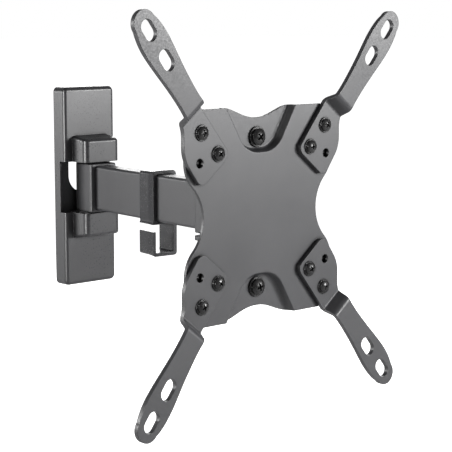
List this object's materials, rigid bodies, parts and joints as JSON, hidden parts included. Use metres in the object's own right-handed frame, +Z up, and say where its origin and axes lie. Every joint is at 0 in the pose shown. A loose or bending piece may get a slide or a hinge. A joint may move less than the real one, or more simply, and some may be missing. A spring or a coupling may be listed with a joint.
{
  "type": "full motion tv wall mount",
  "caption": "Wall mount for a small flat screen: covered wall plate, one swivelling arm with a cable clip, and a tilting VESA plate with four slotted extension arms.",
  "frame": {"origin": "centre of the wall plate's back face, which lies against the wall, midway between the two wall screw holes", "axes": "+Z up, +Y into the wall, so that the television is on the -Y side; +X to the right seen from the room"},
  "size_m": [0.2114, 0.2098, 0.2374],
  "materials": {
    "powder_coat": "dark grey powder coat, fine texture, satin",
    "cover_plastic": "dark grey moulded plastic, fine spark-eroded grain",
    "clip_plastic": "dark grey moulded plastic, smooth satin",
    "black_screw": "black oxide, glossy",
    "black_nylon": "black nylon, dull",
    "zinc": "zinc plated"
  },
  "bodies": {
    "wall": {"wall_plate": "powder_coat", "wall_cover": "cover_plastic", "wall_pivot_bolt": "black_screw", "wall_pivot_nut": "black_screw", "wall_pivot_washers": "black_screw"},
    "arm": {"arm_tube": "powder_coat", "wall_knuckle": "powder_coat", "head_knuckle": "powder_coat", "wall_hinge_bushes": "black_nylon", "head_hinge_bushes": "black_nylon"},
    "clip": {"cable_clip": "clip_plastic"},
    "yoke": {"head_yoke": "powder_coat", "head_pivot_bolt": "black_screw", "head_pivot_nut": "black_screw", "head_pivot_washers": "black_screw", "tilt_bolt": "black_screw", "tilt_nut": "black_screw", "tilt_washers": "black_screw", "tilt_friction_washers": "black_nylon", "tilt_spacer": "zinc"},
    "head": {"tilt_bracket": "powder_coat", "vesa_plate": "powder_coat", "arm_top_right": "powder_coat", "arm_top_left": "powder_coat", "arm_bottom_right": "powder_coat", "arm_bottom_left": "powder_coat", "arm_screws": "black_screw", "arm_nuts": "zinc", "plate_screws": "black_screw", "plate_nuts": "zinc"}
  },
  "joints": [
    {"name": "wall_swivel", "type": "hinge", "parent": "wall", "child": "arm", "pos_m": [0, -0.0132, 0], "axis": [0, 0, 1], "range_deg": [-85.1, 94.9]},
    {"name": "head_swivel", "type": "hinge", "parent": "arm", "child": "yoke", "pos_m": [-0.0128, -0.16255, 0], "axis": [0, 0, 1], "range_deg": [-94.9, 85.1]},
    {"name": "tilt", "type": "hinge", "parent": "yoke", "child": "head", "pos_m": [-0.0128, -0.18285, 0], "axis": [1, 0, 0], "range_deg": [-15, 15]},
    {"name": "clip_slide", "type": "slide", "parent": "arm", "child": "clip", "axis": [-0.0854, -0.9963, 0], "range_m": [-0.05, 0.043]}
  ]
}
